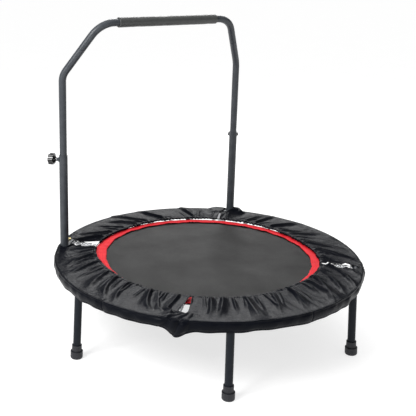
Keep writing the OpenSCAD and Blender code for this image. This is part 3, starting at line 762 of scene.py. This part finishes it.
def give_thickness(piece, thickness):
    """Makes a sheet a closed shell."""
    solid = piece.modifiers.new("shell", "SOLIDIFY")
    solid.thickness = thickness
    solid.offset = 0
    with bpy.context.temp_override(object=piece, active_object=piece, selected_objects=[piece]):
        bpy.ops.object.modifier_apply(modifier=solid.name)


# ---------------------------------------------------------------- mat and webbing

MAT_ROWS, MAT_COLUMNS = 44, 288
MAT_TURN = math.radians(-33)  # the direction of the mat's tapes
BAND_ROWS, BAND_COLUMNS = 9, 1152
BAND_STEPS = 24  # the webbing is sewn on in this many short straight runs
BAND_STEP = TURN / BAND_STEPS
BAND_IN = MAT_R - 0.031
BAND_SHIFT = 0.011  # its inner edge sits this far off centre, away from the front
BAND_WIDE = math.radians(150)  # the webbing is wider on this side
BAND_WIDER = 0.010
BAND_WIDER_REACH = math.radians(28)


def band_inner(angle):
    """The webbing's inner edge: short chords, a little further out at the back."""
    wander = 0.042 * ripple(angle, 1, 6, 31)
    inside = (angle + wander) % BAND_STEP - BAND_STEP / 2
    chord = math.cos(BAND_STEP / 2) / np.cos(inside)
    off_centre = BAND_SHIFT * np.cos(angle - FRONT)
    wider = BAND_WIDER * np.exp(-(turn_distance(angle, BAND_WIDE) / BAND_WIDER_REACH) ** 2)
    return (BAND_IN - off_centre - wider) * chord + 0.0006 * ripple(angle, 30, 90, 32)


def mat_rim(angle):
    """The mat's round outer edge, which is also the webbing's."""
    return np.full_like(angle, MAT_R)


def slab(name, edges, heights, counts, wave, slot):
    """A flat closed ring or disc of cloth between two edges, which are functions of the angle."""
    rows, columns = counts
    angle = np.arange(columns) * TURN / columns
    t = np.linspace(0, 1, rows)[:, None]
    inner, outer = (edge(angle) for edge in edges)
    low, high = heights
    radius = mix(inner, outer, t)
    top = np.stack([radius * np.cos(angle), radius * np.sin(angle), high + wave(angle, t)], -1)
    bottom = top - (0, 0, high - low)
    points = np.concatenate([top, bottom[::-1]]).reshape(-1, 3)
    faces = grid_faces(2 * rows, columns, closed_columns=True, closed_rows=True)
    piece = mesh_piece(name, points, faces, MATERIALS[slot], slot)
    return piece, angle, np.concatenate([radius, radius[::-1]])


def mat_wave(angle, t):
    """The slight waves that the springs pull into the mat's rim."""
    return 0.0005 * np.cos(SPRINGS * angle) * t ** 8


def band_wave(angle, t):
    """The webbing's small pleats and waves, and its raised outer edge."""
    pleat = np.cos(BAND_STEPS * angle)
    return 0.0006 * pleat * (1 - t) + 0.0004 * ripple(angle, 30, 80, 33) + 0.0012 * t ** 1.5


def build_mat():
    """The woven jumping mat, one disc with a closed rim."""
    edges = (np.zeros_like, mat_rim)
    heights = (MAT_LOW, MAT_HIGH)
    counts = (MAT_ROWS, MAT_COLUMNS)
    piece, angle, radius = slab("jumping_mat", edges, heights, counts, mat_wave, "mat_weave")
    flat = np.stack([radius * np.cos(angle), radius * np.sin(angle)], -1).reshape(-1, 2)
    cos, sin = math.cos(MAT_TURN), math.sin(MAT_TURN)
    spin = np.array([[cos, sin], [-sin, cos]])
    set_map(piece, "cloth", flat @ spin)
    weld(piece)
    return piece


def build_band():
    """The red webbing round the mat."""
    edges = (band_inner, mat_rim)
    heights = (BAND_LOW, BAND_HIGH)
    counts = (BAND_ROWS, BAND_COLUMNS)
    piece, angle, radius = slab("mat_webbing", edges, heights, counts, band_wave, "red_webbing")
    along = np.broadcast_to(angle * BAND_IN, radius.shape)
    set_map(piece, "cloth", np.stack([along, radius - band_inner(angle)], -1).reshape(-1, 2))
    return piece


# ---------------------------------------------------------------- springs, grip, elastic

WIRE = 0.0026
WIRE_SIDES = 7
COIL_R = (SPRING_HIGH - SPRING_LOW) / 2
COIL_PITCH = WIRE * 1.06
COIL_STEPS = 14  # points in one turn of the coil
SPRING_Z = (SPRING_HIGH + SPRING_LOW) / 2
HOOK_R = MAT_R + 0.0155  # where the springs hook into the mat's rings
HOOK_BEND = 0.0042
RING_WALL = RING_R - TUBE_R  # the inner side of the ring tube
COIL_START, COIL_END = HOOK_R + 0.0085, RING_WALL - 0.013


def spring_path():
    """The wire's centre line of a spring along +X: a hook, a close coil and an end in the ring tube."""
    ring = COIL_R - WIRE / 2
    turns = (COIL_END - COIL_START) / COIL_PITCH
    t = np.linspace(0, 1, int(turns * COIL_STEPS))
    x = mix(COIL_START, COIL_END, t)
    coil = np.stack([x, ring * np.cos(t * turns * TURN), ring * np.sin(t * turns * TURN)], -1)
    a = np.linspace(math.radians(-96.154), math.radians(150), 11)
    hook_x = HOOK_R - 0.001 + HOOK_BEND * np.cos(a)
    hook = np.stack([hook_x, np.zeros_like(a), HOOK_BEND * np.sin(a)], -1)
    lead_in = mix(hook[-1], coil[0], np.linspace(0, 1, 5)[1:-1, None])
    end_y, end_z = 0.4 * coil[-1, 1:]
    lead_out = np.array([[COIL_END + 0.004, end_y, end_z + 0.002], [RING_WALL - 0.006, 0, 0.003],
                         [RING_WALL - 0.0015, 0, 0.0015], [RING_WALL + 0.003, 0, -0.0005]])
    return np.concatenate([hook, lead_in, coil, lead_out])


def build_springs(name, body, node):
    """The coil springs of one half of the frame."""
    path = spring_path()
    parts = []
    for number in range(SPRINGS):
        turn = spring_azimuth(number)
        on_rear = math.sin(turn - FOLD_AZIMUTH) > 0
        if on_rear != (body == REAR):
            continue
        cos, sin = math.cos(turn), math.sin(turn)
        spin = np.array([[cos, sin, 0], [-sin, cos, 0], [0, 0, 1]])
        parts.append(tube_mesh(path @ spin + (0, 0, SPRING_Z), WIRE / 2, WIRE_SIDES))
    piece = mesh_piece(name, *joined(parts), MATERIALS["spring_steel"], "spring_steel")
    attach(piece, body)
    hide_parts(node)
    return piece


GRIP_SIDES, GRIP_ROWS = 40, 120
GRIP_WORN = 0.00025  # how deep the grip is worn and how far it is out of round
GRIP_CUT = 0.0012  # the rounding of its cut ends


def build_grip():
    """The foam grip: a thick sleeve with cut ends that the bar runs through."""
    low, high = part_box("foam_grip")
    centre = (low + high) / 2
    outer = (high.z - low.z) / 2
    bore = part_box("handle_top_bar")[1].z - centre.z
    half = (high.x - low.x) / 2
    cut = GRIP_CUT
    rounded = (half - cut * 0.3, outer - cut * 0.7)
    end = [(half - cut, outer), rounded, (half, outer - 2 * cut), (half, bore)]
    stations = [(-x, radius) for x, radius in reversed(end)]
    stations += [(x, outer) for x in np.linspace(-half + 3 * cut, half - 3 * cut, GRIP_ROWS)]
    stations += end
    angles = np.arange(GRIP_SIDES) * TURN / GRIP_SIDES
    points = []
    for x, radius in stations:
        ring = np.full_like(angles, radius)
        if abs(x) < half - 2 * cut:
            ring += GRIP_WORN * math.sin(x * 61) + 0.0002 * math.sin(x * 173 + 1)
        if radius == outer:
            ring += GRIP_WORN * np.sin(3 * angles + 20 * x)
        ring = np.minimum(ring, outer)
        across = [centre.y + ring * np.cos(angles), centre.z + ring * np.sin(angles)]
        points.append(np.stack([np.full_like(ring, x), *across], -1))
    faces = grid_faces(len(stations), GRIP_SIDES, closed_columns=True, closed_rows=True)
    piece = mesh_piece("foam_sleeve", np.concatenate(points), faces, MATERIALS["grip_foam"], "grip_foam")
    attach(piece, HANDLE)
    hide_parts("foam_grip")
    return piece


ELASTIC_STEPS = 288
ELASTIC_R = 0.0013
ELASTIC_SIDES = 8


def elastic_loop(angle, radius, height):
    """A closed cord round the ring."""
    path = np.stack([radius * np.cos(angle), radius * np.sin(angle), np.full_like(angle, height)], -1)
    return tube_mesh(path, ELASTIC_R, ELASTIC_SIDES, closed=True)


def build_elastic():
    """The elastic cords inside the cover's two hems."""
    angle = np.arange(ELASTIC_STEPS) * TURN / ELASTIC_STEPS
    inner = elastic_loop(angle, hem_radius(angle) + HEM_TUBE, HEM_Z)
    outer = elastic_loop(angle, COVER_R - WALL_IN - 0.004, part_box("skirt_elastic_rear")[0].z + 0.0015)
    return mesh_piece("hem_elastic", *joined([inner, outer]), MATERIALS["elastic"], "elastic")


# ---------------------------------------------------------------- put together

dress_frame()
build_springs("coil_springs_rear", REAR, "springs_rear")
build_springs("coil_springs_front", FOLDING, "springs_front")
build_grip()

mat = build_mat()
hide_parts("jumping_mat_rear", "jumping_mat_front")
blend_at_fold(mat)

band = build_band()
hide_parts("mat_webbing_rear", "mat_webbing_front")
blend_at_fold(band)

cover = build_cover()
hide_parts("skirt_cover_rear", "skirt_cover_front")
blend_at_fold(cover)

elastic = build_elastic()
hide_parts("skirt_elastic_rear", "skirt_elastic_front")
blend_at_fold(elastic)

# ---------------------------------------------------------------- floor, light and camera


FLOOR_HALF = 150.0
LIT = Vector((0, 0, 0.3))  # the point that the lights face


def build_floor():
    """A plain pale floor that reaches past the horizon, and shines a little like a light table."""
    corners = [(-1, -1), (1, -1), (1, 1), (-1, 1)]
    mesh = bpy.data.meshes.new("floor")
    mesh.from_pydata([(x * FLOOR_HALF, y * FLOOR_HALF, 0) for x, y in corners], [], [(0, 1, 2, 3)])
    floor = bpy.data.objects.new("floor", mesh)
    bpy.context.scene.collection.objects.link(floor)
    glow = {"Emission_Color": (1, 1, 1, 1), "Emission_Strength": 0.74}
    s = Shader("studio_floor", Roughness=0.9, Specular_IOR_Level=0.1, **glow)
    s.colour(s.colours(s.noise(s.place(), 3.0), (0.38, 0.38, 0.38), (0.42, 0.42, 0.42)))
    mesh.materials.append(s.material)


def area_light(name, place, size, power):
    """A square softbox that faces the middle of the object."""
    data = bpy.data.lights.new(name, "AREA")
    data.size = size
    data.energy = power
    lamp = bpy.data.objects.new(name, data)
    lamp.location = place
    lamp.rotation_euler = (LIT - Vector(place)).to_track_quat("-Z", "Y").to_euler()
    bpy.context.scene.collection.objects.link(lamp)


SENSOR = 36.0
LENS = 65.82  # the focal length for that sensor, both in millimetres
SHIFT = (0.1861, -0.1149)  # how far the picture is moved over the sensor, in sensor widths
DISTANCE, TILT, ROLL = 2.478, math.radians(14.194), math.radians(0.499)
AIM = (-0.2570, 0.5636)  # the point that the camera faces, across and up from the object's foot
SWING = math.radians(-32.61)  # the camera's place round the object


def build_camera():
    """The camera, at the height and side that the object is seen from."""
    data = bpy.data.cameras.new("camera")
    data.sensor_width = SENSOR
    data.lens = LENS
    data.shift_x, data.shift_y = SHIFT
    data.clip_start, data.clip_end = 0.05, 500
    camera = bpy.data.objects.new("camera", data)
    place = Vector((AIM[0], -DISTANCE * math.cos(TILT), AIM[1] + DISTANCE * math.sin(TILT)))
    facing = Matrix.Rotation(math.pi / 2 - TILT, 4, "X") @ Matrix.Rotation(ROLL, 4, "Z")
    camera.matrix_world = Matrix.Rotation(SWING, 4, "Z") @ Matrix.Translation(place) @ facing
    bpy.context.scene.collection.objects.link(camera)
    bpy.context.scene.camera = camera


def build_world(level, overhead):
    """Soft white light that is stronger from overhead than from the sides."""
    world = bpy.data.worlds.new("studio")
    world.use_nodes = True
    tree = world.node_tree
    where = tree.nodes.new("ShaderNodeTexCoord").outputs["Generated"]
    split = tree.nodes.new("ShaderNodeSeparateXYZ")
    ramp = tree.nodes.new("ShaderNodeMapRange")
    ramp.inputs["To Min"].default_value = level
    ramp.inputs["To Max"].default_value = overhead
    background = tree.nodes["Background"]
    background.inputs["Color"].default_value = (1, 1, 1, 1)
    tree.links.new(where, split.inputs["Vector"])
    steeper = tree.nodes.new("ShaderNodeMath")
    steeper.operation = "MULTIPLY"
    tree.links.new(split.outputs["Z"], steeper.inputs[0])
    tree.links.new(split.outputs["Z"], steeper.inputs[1])
    tree.links.new(steeper.outputs[0], ramp.inputs["Value"])
    tree.links.new(ramp.outputs["Result"], background.inputs["Strength"])
    bpy.context.scene.world = world


build_floor()
build_world(level=0.05, overhead=1.2)
area_light("key", (-2.6, -0.4, 2.4), 1.3, 110)
area_light("back", (1.8, 2.4, 2.2), 1.9, 66)
build_camera()
bpy.context.scene.view_settings.view_transform = "Standard"
